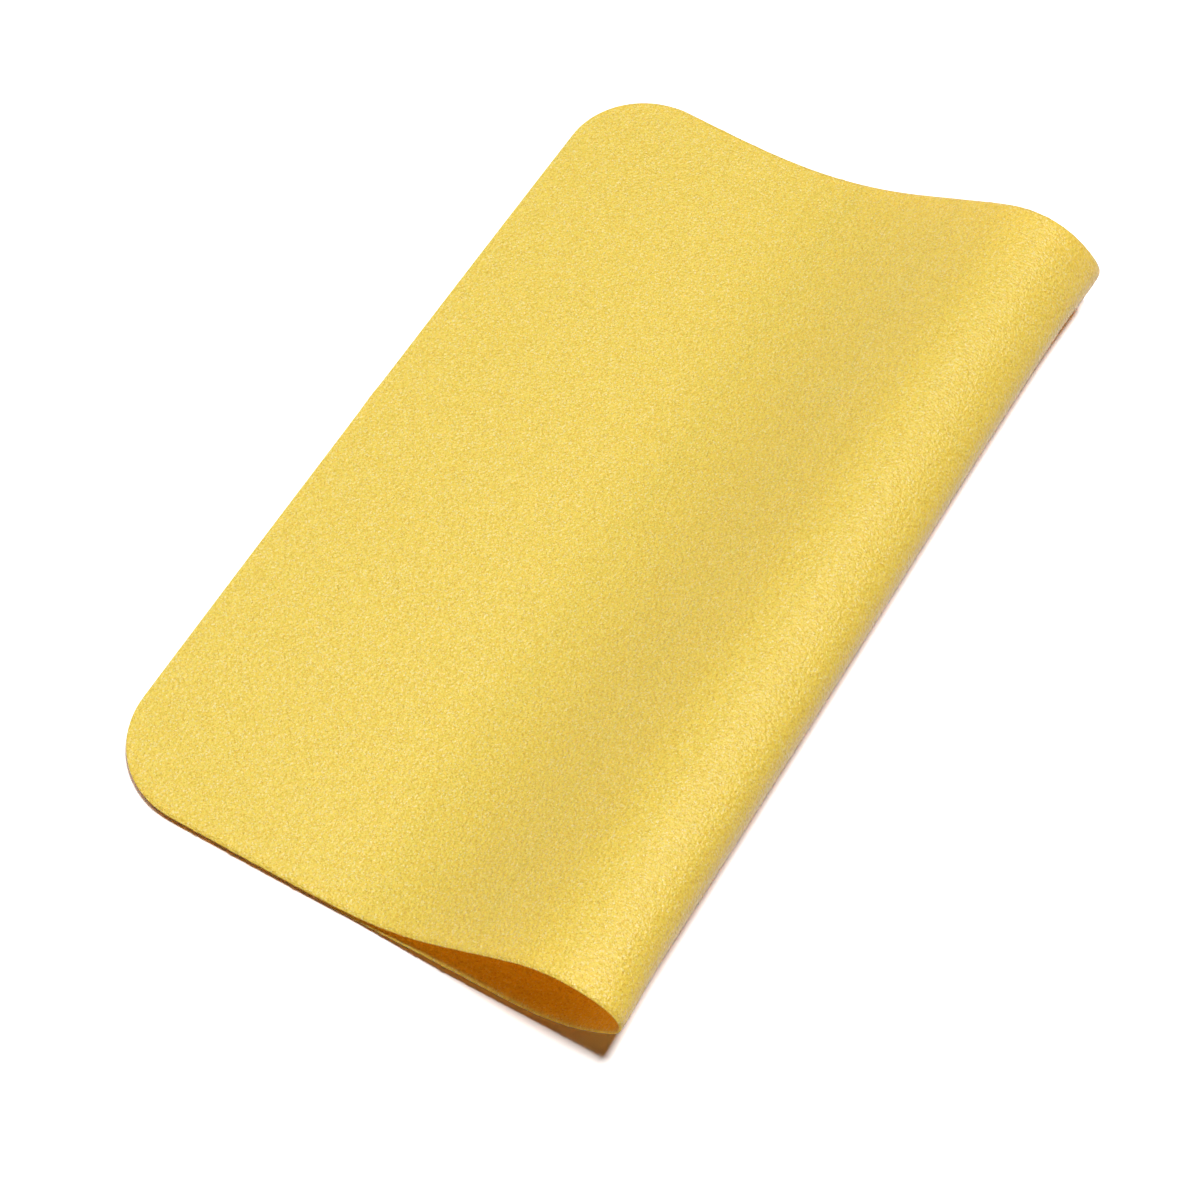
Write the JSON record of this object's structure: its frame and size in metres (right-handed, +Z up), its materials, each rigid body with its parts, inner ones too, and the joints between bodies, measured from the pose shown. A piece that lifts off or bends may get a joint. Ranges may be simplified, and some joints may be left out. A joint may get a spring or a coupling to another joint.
{
  "type": "lens cleaning cloth",
  "caption": "Suede-faced microfibre cloth for wiping lenses, with rounded corners, folded in half with an open unpressed fold that unrolls flat.",
  "frame": {"origin": "on the surface that the cloth lies on, under the middle of the folded cloth", "axes": "+X across the fold, with the fold at +X and the free edges at -X; +Y along the fold; +Z up"},
  "size_m": [0.0862, 0.15, 0.014],
  "materials": {
    "microfibre": "matt, finely napped suede"
  },
  "bodies": {
    "lower_flap": {"lower_flap": "microfibre"},
    "rise": {"rise": "microfibre"},
    "tip": {"tip": "microfibre"},
    "crown": {"crown": "microfibre"},
    "slope": {"slope": "microfibre"},
    "neck": {"neck": "microfibre"},
    "upper_flap": {"upper_flap": "microfibre"}
  },
  "joints": [
    {"name": "bend_rise", "type": "hinge", "parent": "lower_flap", "child": "rise", "pos_m": [0.0315, 0, 0.0013], "axis": [0, 1, 0], "range_deg": [0, 23.26]},
    {"name": "unfold", "type": "hinge", "parent": "rise", "child": "tip", "pos_m": [0.04196, 0, 0.00615], "axis": [0, 1, 0], "range_deg": [0, 78.75]},
    {"name": "bend_crown", "type": "hinge", "parent": "tip", "child": "crown", "pos_m": [0.04057, 0, 0.01268], "axis": [0, 1, 0], "range_deg": [0, 79.26]},
    {"name": "bend_slope", "type": "hinge", "parent": "crown", "child": "slope", "pos_m": [0.0286, 0, 0.0126], "axis": [0, 1, 0], "range_deg": [0, 23.76]},
    {"name": "bend_neck", "type": "hinge", "parent": "slope", "child": "neck", "pos_m": [0.0081, 0, 0.0044], "axis": [0, 1, 0], "range_deg": [-12.51, 0]},
    {"name": "bend_upper_flap", "type": "hinge", "parent": "neck", "child": "upper_flap", "pos_m": [-0.0056, 0, 0.0016], "axis": [0, 1, 0], "range_deg": [-12.51, 0]}
  ],
  "couplings": [
    {"joint": "bend_rise", "follows": "unfold", "ratio": 0.29524},
    {"joint": "bend_crown", "follows": "unfold", "ratio": 1.0063},
    {"joint": "bend_slope", "follows": "unfold", "ratio": 0.30159},
    {"joint": "bend_neck", "follows": "unfold", "ratio": -0.15873},
    {"joint": "bend_upper_flap", "follows": "unfold", "ratio": -0.15873}
  ]
}
